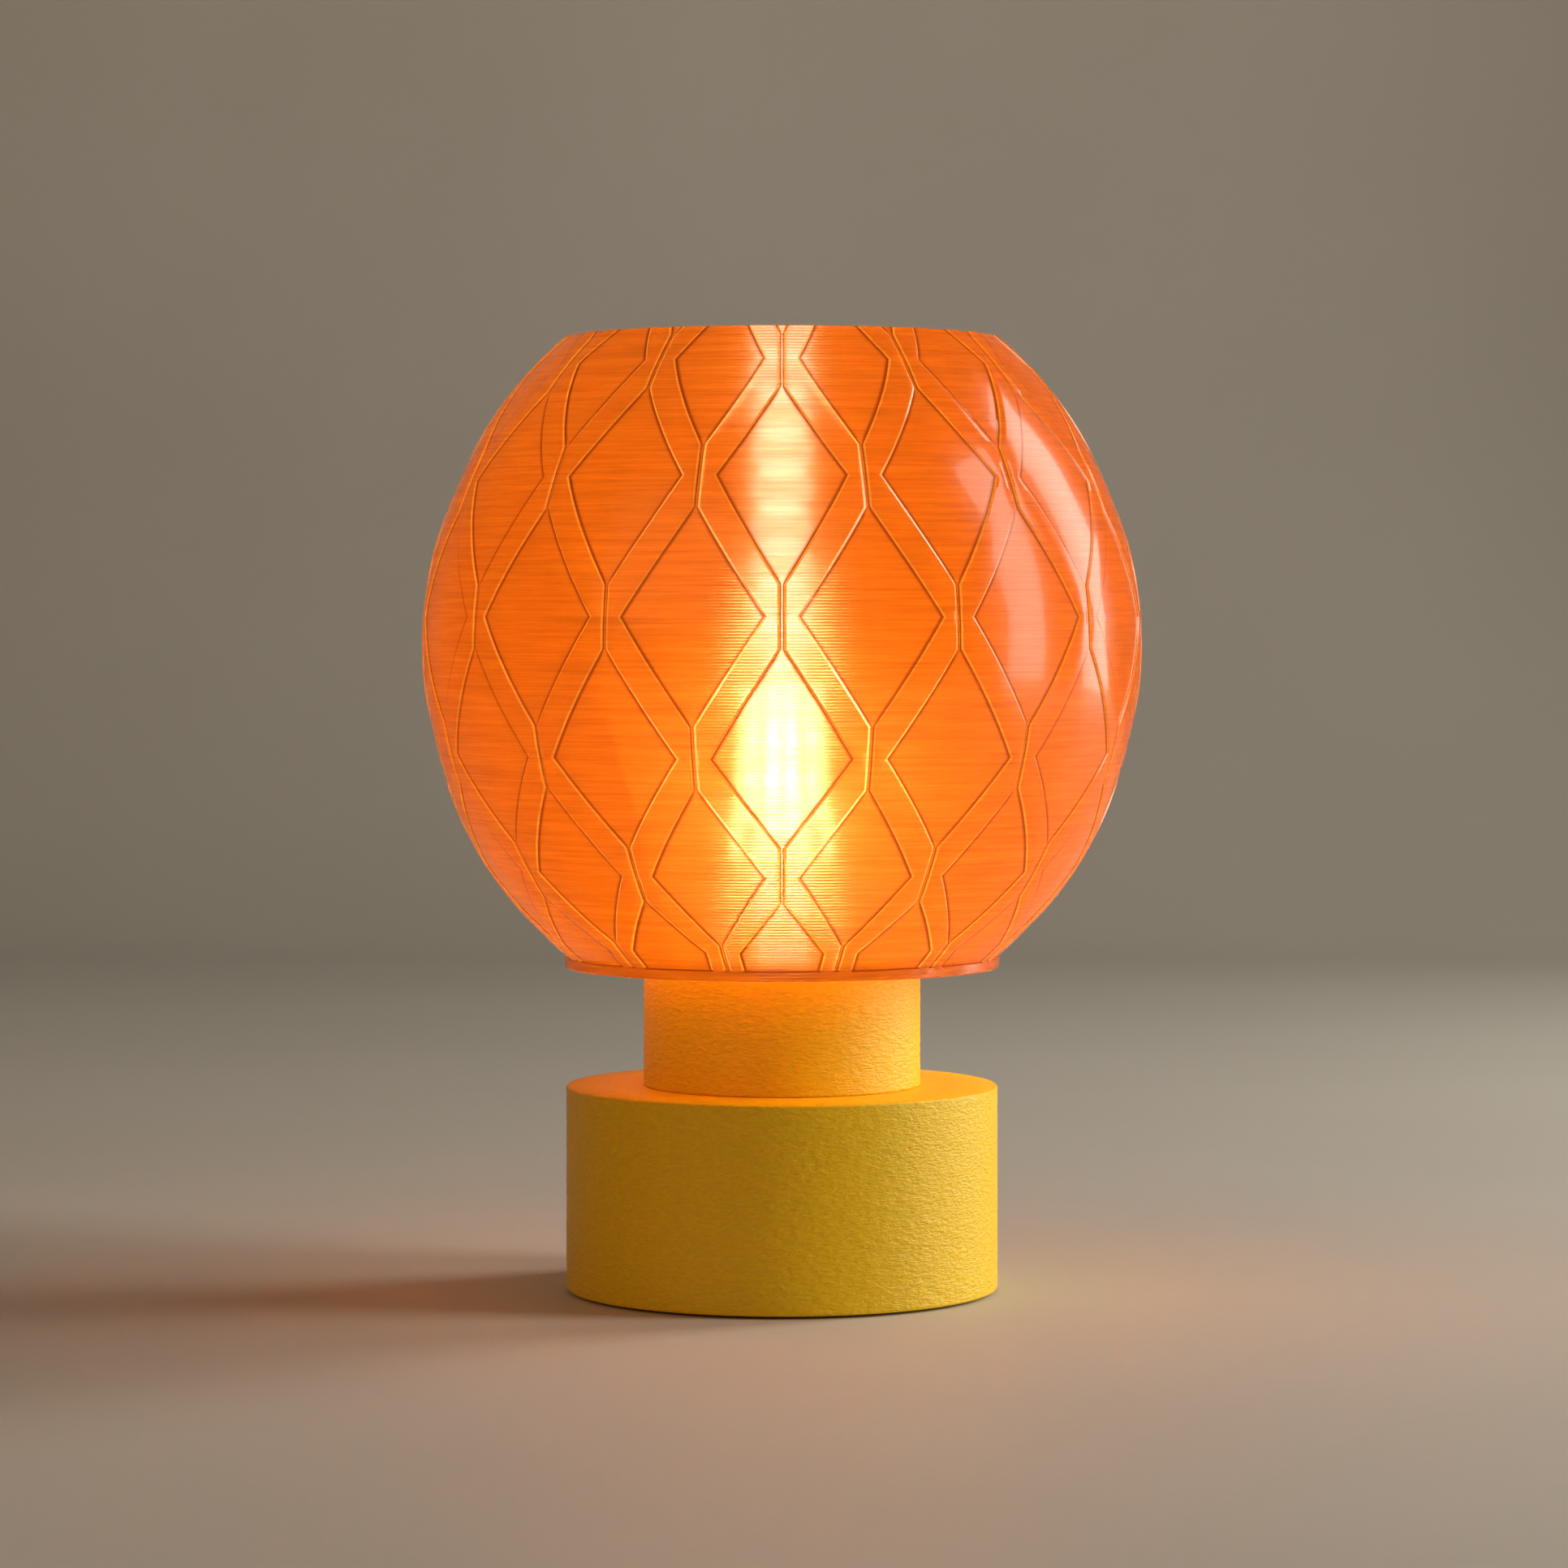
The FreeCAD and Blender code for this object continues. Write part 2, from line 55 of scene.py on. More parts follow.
def add(tree, kind, inputs=None, **settings):
    """One node with its settings; an input is a constant or another node's output."""
    made = tree.nodes.new(kind)
    for name, value in settings.items():
        setattr(made, name, value)
    for name, value in (inputs or {}).items():
        if isinstance(value, bpy.types.NodeSocket):
            tree.links.new(value, made.inputs[name])
        else:
            made.inputs[name].default_value = value
    return made


def new_material(name):
    """An empty node material and its tree."""
    made = bpy.data.materials.new(name)
    made.use_nodes = True
    made.node_tree.nodes.clear()
    return made, made.node_tree


def new_piece(name, points, faces, finish, body, sharp=35.0):
    """Smooth-shaded mesh of quads or triangles, riding on a body."""
    mesh = bpy.data.meshes.new(name)
    points = np.asarray(points, dtype=np.float32).reshape(-1, 3)
    faces = np.asarray(faces, dtype=np.int32)
    sides = faces.shape[1]
    mesh.vertices.add(len(points))
    mesh.vertices.foreach_set("co", points.ravel())
    mesh.loops.add(faces.size)
    mesh.loops.foreach_set("vertex_index", faces.ravel())
    mesh.polygons.add(len(faces))
    mesh.polygons.foreach_set("loop_start", np.arange(0, faces.size, sides, dtype=np.int32))
    mesh.polygons.foreach_set("loop_total", np.full(len(faces), sides, dtype=np.int32))
    mesh.update(calc_edges=True)
    mesh.shade_smooth()
    mesh.set_sharp_from_angle(angle=math.radians(sharp))
    mesh.materials.append(finish)
    piece = bpy.data.objects.new(name, mesh)
    scene.collection.objects.link(piece)
    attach(piece, body)
    return piece


def ring_faces(rows, columns, first=0):
    """Quads of a grid whose columns go round the axis and whose last row joins the first."""
    row, column = np.meshgrid(np.arange(rows), np.arange(columns), indexing="ij")
    above = (row + 1) % rows
    beside = (column + 1) % columns
    quads = np.stack([row * columns + column, row * columns + beside,
                      above * columns + beside, above * columns + column], axis=-1)
    return quads.reshape(-1, 4) + first


def ring(radius, height, turns, x=0.0, y=0.0):
    """One row of points round an upright axis; radius, height and turns may be arrays."""
    radius, height, turns = np.broadcast_arrays(np.atleast_1d(radius), np.atleast_1d(height), turns)
    return np.stack([x + radius * np.cos(turns), y + radius * np.sin(turns), height], axis=-1)


def lathe(profile, turns, x=0.0, y=0.0):
    """Closed profile of radius and height pairs carried round an upright axis."""
    return np.stack([ring(r, h, turns, x, y) for r, h in profile])


def lattice_noise(u, v, cells_u, cells_v, seed):
    """Smooth noise eased between random values on a lattice; it repeats in u, which runs from
    0 to 1 as v does."""
    values = np.random.default_rng(seed).uniform(-1, 1, (cells_u, cells_v + 2))
    x = (u % 1.0) * cells_u
    y = np.clip(v, 0, 1) * cells_v
    i = np.floor(x).astype(int)
    j = np.floor(y).astype(int)
    across = (x - i) ** 2 * (3 - 2 * (x - i))
    up = (y - j) ** 2 * (3 - 2 * (y - j))
    here = i % cells_u
    beside = (i + 1) % cells_u
    low = values[here, j] * (1 - across) + values[beside, j] * across
    high = values[here, j + 1] * (1 - across) + values[beside, j + 1] * across
    return low * (1 - up) + high * up


# ---- camera -------------------------------------------------------------------------------------
camera_data = bpy.data.cameras.new("camera")
camera_data.lens = 111.2
camera_data.sensor_width = 36.0
camera_data.shift_x = 0.0013
camera_data.shift_y = -0.1066
camera = bpy.data.objects.new("camera", camera_data)
camera.location = (0.0, -1.350, 0.1873)
camera.rotation_euler = (math.pi / 2, 0, 0)
scene.collection.objects.link(camera)
scene.camera = camera
scene.view_settings.view_transform = "Standard"


# ---- sizes of the shade -------------------------------------------------------------------------
shade_low, shade_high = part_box("shade_globe")
shade_radius = shade_high.x
shade_bottom = shade_low.z
shade_top = shade_high.z
rim_radius = 60.5 * MM      # at the open top and at the lip
lip_height = 3.0 * MM       # upright band round the floor
shade_wall = 1.6 * MM
floor_thickness = 1.8 * MM
shade_hole = 33.3 * MM
shade_half = (shade_top - shade_bottom - lip_height) / 2
belly = shade_radius - rim_radius
arc_radius = (shade_half ** 2 + belly ** 2) / (2 * belly)
shade_middle = (shade_top + shade_bottom + lip_height) / 2

column_count = 26           # columns of diamonds round the shade
pitch = 360.0 / column_count
pattern_middle = 187.3 * MM
pattern_radius = 96.75 * MM
ribbon = 4.3 * MM           # across a ribbon, between a diamond's point and a channel
channel_half = 0.73 * MM    # from a channel's middle to the step beside it
step_width = 0.9 * MM
step_depth = 0.5 * MM
painted_shade_width = 1.0 * MM     # painted shade: width of the dark line at a step's foot
crown = 0.10 * MM           # of a ribbon, across it
# each column of the relief: latitudes in degrees where a diamond is widest (1) or a channel
# begins or ends (0)
column_a = ((-67.5, 1), (-51.2, 0), (-38.8, 0), (-22.5, 1), (-5.0, 0),
            (5.0, 0), (22.5, 1), (38.8, 0), (51.2, 0), (67.5, 1))
column_b = ((-80.0, 0), (-64.5, 0), (-45.0, 1), (-27.8, 0), (-17.2, 0),
            (0.0, 1), (17.2, 0), (27.8, 0), (45.0, 1), (64.5, 0))


# ---- materials ----------------------------------------------------------------------------------
def translucent_orange_petg():
    """PETG, clear and dyed orange, printed in layers. A layer's bead bends light up and down and
    hardly sideways, so the bulb shows through as an upright streak; most of the rest is scattered
    deep orange. Painted lines of light and shade run along the steps of the relief, with the
    scattered light paler and the straight-through light darker there, and a painted shade line lies
    at each step's foot. Light comes out redder through the thick lip. The surface is glossy, with
    fine lines round it."""
    made, tree = new_material("translucent_orange_petg")
    place = add(tree, "ShaderNodeTexCoord")
    split = add(tree, "ShaderNodeSeparateXYZ", {"Vector": place.outputs["Object"]})
    height = split.outputs["Z"]
    surface = add(tree, "ShaderNodeNewGeometry")
    # uneven layers: long along the layer, thin across it; real ones are 0.4 mm apart and too fine
    # to show, so they are drawn at 0.7 mm, and their beads at 0.8 mm
    lines = add(tree, "ShaderNodeTexNoise", {"Scale": 1.0, "Detail": 4.0, "Roughness": 0.75,
                "Vector": add(tree, "ShaderNodeMapping", {"Vector": place.outputs["Object"],
                              "Scale": (28.0, 28.0, 1 / (0.7 * MM))}).outputs[0]})
    # a bead's lean: none at its middle, steep at its edges
    layer = add(tree, "ShaderNodeMath", {0: height, 1: 1 / (0.8 * MM)}, operation="MULTIPLY")
    part = add(tree, "ShaderNodeMath", {0: layer.outputs[0]}, operation="FRACT")
    side = add(tree, "ShaderNodeMath", {0: part.outputs[0], 1: 2.0, 2: -1.0},
               operation="MULTIPLY_ADD")
    size = add(tree, "ShaderNodeMath", {0: side.outputs[0], 1: 2.4}, operation="MULTIPLY")
    tilt = add(tree, "ShaderNodeCombineXYZ", {"Z": size.outputs[0]})
    leaning = add(tree, "ShaderNodeVectorMath", {0: surface.outputs["Normal"], 1: tilt.outputs[0]},
                  operation="ADD")
    bead = add(tree, "ShaderNodeVectorMath", {0: leaning.outputs[0]}, operation="NORMALIZE")
    bump = add(tree, "ShaderNodeBump", {"Strength": 0.5, "Distance": 0.08 * MM,
               "Height": lines.outputs[0]})
    # painted light and shade: a line along the relief's steps, with paler scattered light and darker
    # straight-through light
    edge = add(tree, "ShaderNodeAttribute", attribute_name="painted_step_line")
    # painted shade: a dark line at each step's foot
    painted_foot_shade = add(tree, "ShaderNodeAttribute", attribute_name="painted_step_shade")
    thick = add(tree, "ShaderNodeMapRange", {"Value": height, "From Min": shade_bottom + lip_height,
                "From Max": shade_bottom + 2.2 * lip_height, "To Min": 1.0, "To Max": 0.0})
    # the thick lip passes deeper-coloured light; at a step's foot the same deep colour is painted shade
    lip = add(tree, "ShaderNodeMath", {0: thick.outputs[0], 1: 0.30}, operation="MULTIPLY")
    lip_or_painted_shade = add(tree, "ShaderNodeMath", {0: lip.outputs[0], 1: painted_foot_shade.outputs["Fac"]},
               operation="MAXIMUM")

    def tinted(plain, pale, deep):
        """Colour of one way through the wall: in general; along the steps, as a painted line whose
        colour each call gives; and deep where the wall is thick and, as painted shade, at a step's
        foot.
        Linear colours; they are the mix node's inputs 6 and 7."""
        stepped = add(tree, "ShaderNodeMix", {"Factor": edge.outputs["Fac"], 6: plain + (1,),
                      7: pale + (1,)}, data_type="RGBA")
        full = add(tree, "ShaderNodeMix", {"Factor": lip_or_painted_shade.outputs[0], 6: stepped.outputs[2],
                   7: deep + (1,)}, data_type="RGBA")
        shade_lines = add(tree, "ShaderNodeMapRange", {"Value": lines.outputs[0], "From Min": 0.3,
                          "From Max": 0.7, "To Min": 0.56, "To Max": 1.0})
        scaled = add(tree, "ShaderNodeVectorMath", {0: full.outputs[2],
                     "Scale": shade_lines.outputs[0]}, operation="SCALE")
        return scaled.outputs[0]

    def mixed(share, first, second):
        """The first shader, with a share of the second."""
        return add(tree, "ShaderNodeMixShader", {0: share, 1: first.outputs[0], 2: second.outputs[0]})

    skin = add(tree, "ShaderNodeBsdfPrincipled", {
        "Base Color": linear("#F2660F"), "Roughness": 0.20, "IOR": 1.57, "Coat Weight": 0.65,
        "Coat Roughness": 0.07, "Normal": bump.outputs[0]})
    glow = add(tree, "ShaderNodeBsdfTranslucent", {"Color": tinted(
        (0.56, 0.170, 0.004), (1.0, 0.50, 0.06), (0.09, 0.010, 0.001))})
    direct = add(tree, "ShaderNodeBsdfRefraction", {"Color": tinted(
        (1.0, 0.80, 1.0), (0.4, 0.12, 0.02), (0.2, 0.04, 0.008)), "Roughness": 0.32, "IOR": 1.15})
    streak = add(tree, "ShaderNodeBsdfRefraction", {"Color": tinted(
        (0.38, 0.265, 0.17), (0.19, 0.055, 0.008), (0.09, 0.012, 0.002)), "Roughness": 0.30,
        "IOR": 1.42, "Normal": bead.outputs[0]})
    halo = add(tree, "ShaderNodeBsdfRefraction", {"Color": tinted(
        (0.58, 0.17, 0.02), (0.9, 0.40, 0.06), (0.12, 0.016, 0.002)), "Roughness": 0.75, "IOR": 1.5})
    spread = mixed(0.65, direct, halo)
    through = mixed(0.55, spread, streak)
    lit = mixed(0.60, through, glow)
    # more of the gloss and less of the light inside, where the wall is seen aslant
    rim = add(tree, "ShaderNodeFresnel", {"IOR": 1.57, "Normal": surface.outputs["Normal"]})
    gloss = add(tree, "ShaderNodeMapRange", {"Value": rim.outputs[0], "From Min": 0.05, "From Max": 0.5,
                "To Min": 0.32, "To Max": 0.64})
    body = mixed(gloss.outputs[0], lit, skin)
    clear = add(tree, "ShaderNodeBsdfTransparent")
    one_face = mixed(surface.outputs["Backfacing"], body, clear)
    add(tree, "ShaderNodeOutputMaterial", {"Surface": one_face.outputs[0]})
    return made


def plain_finish(name, colour, rough, grain_size, depth=0.02, metal=0.0):
    """A simple finish with fine variation in tone, roughness and surface; sizes in millimetres."""
    made, tree = new_material(name)
    place = add(tree, "ShaderNodeTexCoord")
    grain = add(tree, "ShaderNodeTexNoise", {"Scale": 1 / (grain_size * MM), "Detail": 3.0,
                "Vector": place.outputs["Object"]})
    bump = add(tree, "ShaderNodeBump", {"Strength": 0.4, "Distance": depth * MM,
               "Height": grain.outputs[0]})
    shades = add(tree, "ShaderNodeValToRGB", {"Fac": grain.outputs[0]})
    base = linear(colour)
    shades.color_ramp.elements[0].position = 0.35
    shades.color_ramp.elements[0].color = tuple(v * 0.86 for v in base[:3]) + (1,)
    shades.color_ramp.elements[1].position = 0.65
    shades.color_ramp.elements[1].color = base
    gloss = add(tree, "ShaderNodeMapRange", {"Value": grain.outputs[0], "To Min": rough - 0.05,
                "To Max": rough + 0.07})
    skin = add(tree, "ShaderNodeBsdfPrincipled", {"Base Color": shades.outputs[0],
               "Roughness": gloss.outputs[0], "Metallic": metal, "IOR": 1.5,
               "Normal": bump.outputs[0]})
    add(tree, "ShaderNodeOutputMaterial", {"Surface": skin.outputs[0]})
    return made


def yellow_print(name, stretch, depth, rough):
    """Yellow PLA, printed: an opaque satin plastic, a little light in its shadows. stretch is the
    size of its grain along x, y and z in millimetres, depth how deep it is."""
    made, tree = new_material(name)
    place = add(tree, "ShaderNodeTexCoord")
    fine = add(tree, "ShaderNodeMapping", {"Vector": place.outputs["Object"],
               "Scale": tuple(1 / (s * MM) for s in stretch)})
    grain = add(tree, "ShaderNodeTexNoise", {"Scale": 1.0, "Detail": 2.0, "Roughness": 0.5,
                "Distortion": 0.5, "Vector": fine.outputs[0]})
    bump = add(tree, "ShaderNodeBump", {"Strength": 1.0, "Distance": depth * MM,
               "Height": grain.outputs[0]})
    tone = add(tree, "ShaderNodeValToRGB", {"Fac": grain.outputs[0]})
    tone.color_ramp.elements[0].position = 0.3
    tone.color_ramp.elements[0].color = linear("#F0C400")
    tone.color_ramp.elements[1].position = 0.7
    tone.color_ramp.elements[1].color = linear("#FAD202")
    gloss = add(tree, "ShaderNodeMapRange", {"Value": grain.outputs[0], "To Min": rough - 0.06,
                "To Max": rough + 0.08})
    skin = add(tree, "ShaderNodeBsdfPrincipled", {"Base Color": tone.outputs[0], "IOR": 1.46,
               "Roughness": gloss.outputs[0], "Normal": bump.outputs[0]})
    add(tree, "ShaderNodeOutputMaterial", {"Surface": skin.outputs[0]})
    return made


def clear_glass():
    """Blown soda-lime glass: clear and smooth, hardly wavy."""
    made, tree = new_material("blown_clear_glass")
    place = add(tree, "ShaderNodeTexCoord")
    wave = add(tree, "ShaderNodeTexNoise", {"Scale": 60.0, "Detail": 1.0,
               "Vector": place.outputs["Object"]})
    bump = add(tree, "ShaderNodeBump", {"Strength": 0.05, "Distance": 0.3 * MM,
               "Height": wave.outputs[0]})
    skin = add(tree, "ShaderNodeBsdfPrincipled", {"Base Color": linear("#FFFFFF"), "Roughness": 0.02,
               "IOR": 1.5, "Transmission Weight": 1.0, "Normal": bump.outputs[0]})
    add(tree, "ShaderNodeOutputMaterial", {"Surface": skin.outputs[0]})
    return made


def filament_phosphor():
    """LED filament: a row of chips under a coat of yellow phosphor, lit. It is a little uneven from
    chip to chip."""
    made, tree = new_material("filament_phosphor")
    place = add(tree, "ShaderNodeTexCoord")
    chips = add(tree, "ShaderNodeTexWave", {"Scale": 1 / (9 * MM), "Distortion": 0.3,
                "Vector": place.outputs["Object"]}, bands_direction="Z")
    power = add(tree, "ShaderNodeMapRange", {"Value": chips.outputs["Fac"], "To Min": 34.0,
                "To Max": 46.0})
    skin = add(tree, "ShaderNodeBsdfPrincipled", {"Base Color": linear("#E8B23A"), "Roughness": 0.5,
               "Emission Color": linear("#FFD08A"), "Emission Strength": power.outputs[0]})
    add(tree, "ShaderNodeOutputMaterial", {"Surface": skin.outputs[0]})
    return made


orange = translucent_orange_petg()
fuzzy_yellow = yellow_print("yellow_pla_fuzzy_skin", (2.0, 2.0, 0.7), 0.40, 0.46)
finishes = {    # by the slot's name
    "zinc_steel": plain_finish("zinc_plated_steel", "#B9BDC2", 0.30, 0.4, metal=1.0),
    "black_rubber": plain_finish("black_moulded_rubber", "#1B1B1C", 0.75, 0.5, depth=0.05),
    "white_thermoplastic": plain_finish("white_moulded_pbt", "#E9E6DD", 0.38, 0.5),
    "porcelain": plain_finish("glazed_porcelain", "#EDEAE2", 0.18, 1.5),
    "nickelled_brass": plain_finish("nickelled_brass", "#C6C1B4", 0.26, 0.5, metal=1.0),
    "brass": plain_finish("rolled_brass", "#C8A050", 0.30, 0.5, metal=1.0),
    "clear_glass": clear_glass(),
    "filament_phosphor": filament_phosphor(),
    "nickel_wire": plain_finish("drawn_nickel_wire", "#A9A59C", 0.35, 0.3, metal=1.0),
    "black_glass": plain_finish("black_vitrite", "#141416", 0.15, 1.0),
    "solder_tin": plain_finish("tin_solder", "#BDBFC1", 0.42, 0.7, depth=0.06, metal=1.0),
    "circuit_board": plain_finish("green_solder_mask", "#1F5A3A", 0.35, 0.8),
    "capacitor_sleeve": plain_finish("shrink_sleeve", "#22254A", 0.35, 0.8),
    "yellow_pla_plain": yellow_print("yellow_pla_plain_print", (4.0, 0.5, 0.5), 0.03, 0.40),
}

# ---- shade --------------------------------------------------------------------------------------
def wall_radius(height, inset=0.0):
    """Radius of the shade's arc at a height, inset towards the inside."""
    return shade_radius - arc_radius + np.sqrt((arc_radius - inset) ** 2 - (height - shade_middle) ** 2)


def half_opening(rows, column):
    """Half-width in degrees of a column's diamonds and channels at each row: straight lines
    between the turning points."""
    latitude = np.degrees(np.arcsin(np.clip((rows - pattern_middle) / pattern_radius, -1, 1)))
    radius = wall_radius(rows)
    widest = pitch - np.degrees(ribbon / radius)
    slimmest = np.degrees(channel_half / radius)
    share = np.interp(latitude, [p[0] for p in column], [p[1] for p in column])
    return slimmest + (widest - slimmest) * share


def shade_rows(step):
    """Heights of the rows: every turning point of the relief, and even steps between them."""
    low = shade_bottom + lip_height
    turns = sorted({p[0] for p in column_a + column_b})
    marks = [pattern_middle + pattern_radius * math.sin(math.radians(t)) for t in turns]
    marks = [low] + [m for m in marks if low + step / 2 < m < shade_top - step / 2] + [shade_top]
    rows = [np.linspace(a, b, max(1, round((b - a) / step)), endpoint=False)
            for a, b in zip(marks, marks[1:])]
    return np.append(np.concatenate(rows), shade_top)


def shade_shape():
    """Outside: the arc's radius, less the step's depth in diamonds and channels, plus a low crown
    on each ribbon, on a grid whose columns follow the ribbons' edges. Inside: the same arc inset
    by the wall. The lip, the floor and its hole close the shape. Also gives how far each point is
    on a step, where the material paints a line of light and shade, and how far in the corner at a
    step's foot, where it paints a shade line."""
    rows = shade_rows(1.15 * MM)
    ramp = np.degrees(step_width / 2 / wall_radius(rows))
    edge_a = half_opening(rows, column_a)
    edge_b = pitch - half_opening(rows, column_b)
    foot_a = np.minimum(np.degrees(painted_shade_width / wall_radius(rows)), 0.6 * (edge_a - ramp))
    foot_b = np.minimum(np.degrees(painted_shade_width / wall_radius(rows)), 0.6 * (pitch - edge_b - ramp))
    ridge = -crown / step_depth
    third = (edge_b - edge_a - 2 * ramp) / 4
    # angle, depth, on a step (painted step line), in a corner (painted shade line)
    stops = [(0 * edge_a, 1, 0, 0), ((edge_a - ramp - foot_a) / 2, 1, 0, 0),
             (edge_a - ramp - foot_a, 1, 0, 0), (edge_a - ramp, 1, 0, 1), (edge_a, 0.5, 1, 0),
             (edge_a + ramp, 0, 0, 0), (edge_a + ramp + third, ridge * 0.75, 0, 0),
             (edge_a + ramp + 2 * third, ridge, 0, 0), (edge_b - ramp - third, ridge * 0.75, 0, 0),
             (edge_b - ramp, 0, 0, 0), (edge_b, 0.5, 1, 0), (edge_b + ramp, 1, 0, 1),
             (edge_b + ramp + foot_b, 1, 0, 0), ((pitch + edge_b + ramp + foot_b) / 2, 1, 0, 0)]
    half = np.array([stop[0] for stop in stops]).T
    facts = np.array([stop[1:] for stop in stops], dtype=float)
    # the second half mirrors the first about the B column's middle
    back = np.concatenate([0 * half[:, :1] + pitch, 2 * pitch - half[:, :0:-1]], axis=1)
    repeat = np.concatenate([half, back], axis=1)
    facts = np.tile(np.concatenate([facts, [[1, 0, 0]], facts[:0:-1]]), (column_count // 2, 1))
    turn = np.concatenate([repeat + 2 * pitch * k for k in range(column_count // 2)], axis=1)
    turn = np.radians(turn - 90.0)
    outside = ring(wall_radius(rows)[:, None] - step_depth * facts[:, 0], rows[:, None], turn)
    level = turn[0]
    inner_rows = np.linspace(shade_top, shade_bottom + lip_height, 36)
    inside = [ring(wall_radius(h, shade_wall), h, level) for h in inner_rows]
    inner_edge = wall_radius(inner_rows[-1], shade_wall)
    under = shade_bottom + floor_thickness
    chamfer = 0.3 * MM
    rest = [(inner_edge, under), ((inner_edge + shade_hole) / 2, under), (shade_hole, under),
            (shade_hole, shade_bottom), ((rim_radius + shade_hole) / 2, shade_bottom),
            (rim_radius - chamfer, shade_bottom), (rim_radius, shade_bottom + chamfer),
            (rim_radius, shade_bottom + lip_height - chamfer)]
    grid = np.concatenate([outside, np.stack(inside), lathe(rest, level)])
    marks = np.zeros((2,) + grid.shape[:2], dtype=np.float32)
    marks[:, :len(rows)] = facts[:, 1:].T[:, None, :]
    marks[0, len(rows) + len(inside):-3] = 0.8    # painted glow: the floor right under the bulb gets most of the step line's colours, so its scattered light comes out paler and brighter onto the deck
    return grid, ring_faces(len(grid), grid.shape[1]), marks


grid, faces, marks = shade_shape()
shade = new_piece("shade_relief", grid, faces, orange, "shade", sharp=24.0)
# the painted step line and the painted shade line at each step's foot, for the shade's material
for name, values in zip(("painted_step_line", "painted_step_shade"), marks):
    layer = shade.data.attributes.new(name, "FLOAT", "POINT")
    layer.data.foreach_set("value", values.ravel())
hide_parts("shade_globe")

# ---- base ---------------------------------------------------------------------------------------
drum_low, drum_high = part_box("base_drum")
neck_radius = 38.5 * MM
neck_height = 33.0 * MM
wall_thickness = 3.0 * MM
deck = 3.0 * MM
deck_hole = 27.0 * MM       # in the drum's top
finder_radius = 26.8 * MM   # ring under the neck that sits in it
finder_bore = 24.2 * MM
top_hole = 20.3 * MM        # in the neck's top plate
spigot_radius = 33.0 * MM   # ring that centres the shade
spigot_bore = 30.5 * MM
spigot_height = 4.5 * MM
post_radius = 4.2 * MM
pilot_radius = 1.25 * MM
cover_top = 4.8 * MM
cover_post_circle = 53.1 * MM
neck_post_circle = 31.6 * MM
neck_post_height = 14.0 * MM
cord_height = 14.0 * MM
cord_hole = 4.7 * MM
pocket_radius = 6.6 * MM    # flat round the cord's hole
pocket_depth = 0.8 * MM


def fuzz(u, v, length, height, seed):
    """Wavy ridges of a fuzzy printed skin, as a push outwards: noise stretched along the layers,
    bent by two slower ones and made stronger and weaker by a third."""
    bend = lattice_noise(u, v, int(length / (5 * MM)), int(height / (4 * MM)) + 1, seed)
    drift = lattice_noise(u, v, int(length / (4 * MM)), int(height / (3 * MM)) + 1, seed + 1)
    slow = lattice_noise(u, v, int(length / (18 * MM)), int(height / (16 * MM)) + 1, seed + 4)
    coarse = lattice_noise(u + drift * 0.9 * MM / length, v + bend * 0.6 * MM / height,
                           int(length / (2.3 * MM)), int(height / (0.8 * MM)), seed + 2)
    return 0.11 * coarse * (0.8 + 0.3 * slow) * MM


def fuzzy_wall(radius, low, high, columns, rows, seed):
    """Outer wall on an even grid, pushed in and out by the fuzz, its edges slightly rounded."""
    edge = 0.35 * MM
    v, u = np.meshgrid(np.linspace(0, 1, rows), np.arange(columns) / columns, indexing="ij")
    height = low + (high - low) * v
    near = np.minimum(height - low, high - height)
    rounding = edge - np.sqrt(edge ** 2 - np.maximum(edge - near, 0) ** 2)
    calm = np.clip(near / (0.8 * MM), 0, 1)
    push = fuzz(u, v, 2 * math.pi * radius, high - low, seed) * calm
    return ring(radius + push - rounding, height, 2 * math.pi * u)


def joined(shells):
    """Closed shells, each a grid of points and its quads, put together as one mesh."""
    points, faces, count = [], [], 0
    for shell_points, shell_faces in shells:
        points.append(shell_points.reshape(-1, 3))
        faces.append(shell_faces + count)
        count += len(points[-1])
    return np.concatenate(points), np.concatenate(faces)


def screw_posts(circle, low, high):
    """Four round posts with a pilot bore for a screw, on a circle round the axis."""
    turns = 2 * math.pi * np.arange(32) / 32
    profile = [(post_radius, low), (post_radius, high), (pilot_radius, high), (pilot_radius, low)]
    shells = []
    for quarter in range(4):
        angle = math.radians(45 + 90 * quarter)
        post = lathe(profile, turns, circle * math.cos(angle), circle * math.sin(angle))
        shells.append((post, ring_faces(len(profile), len(turns))))
    return shells


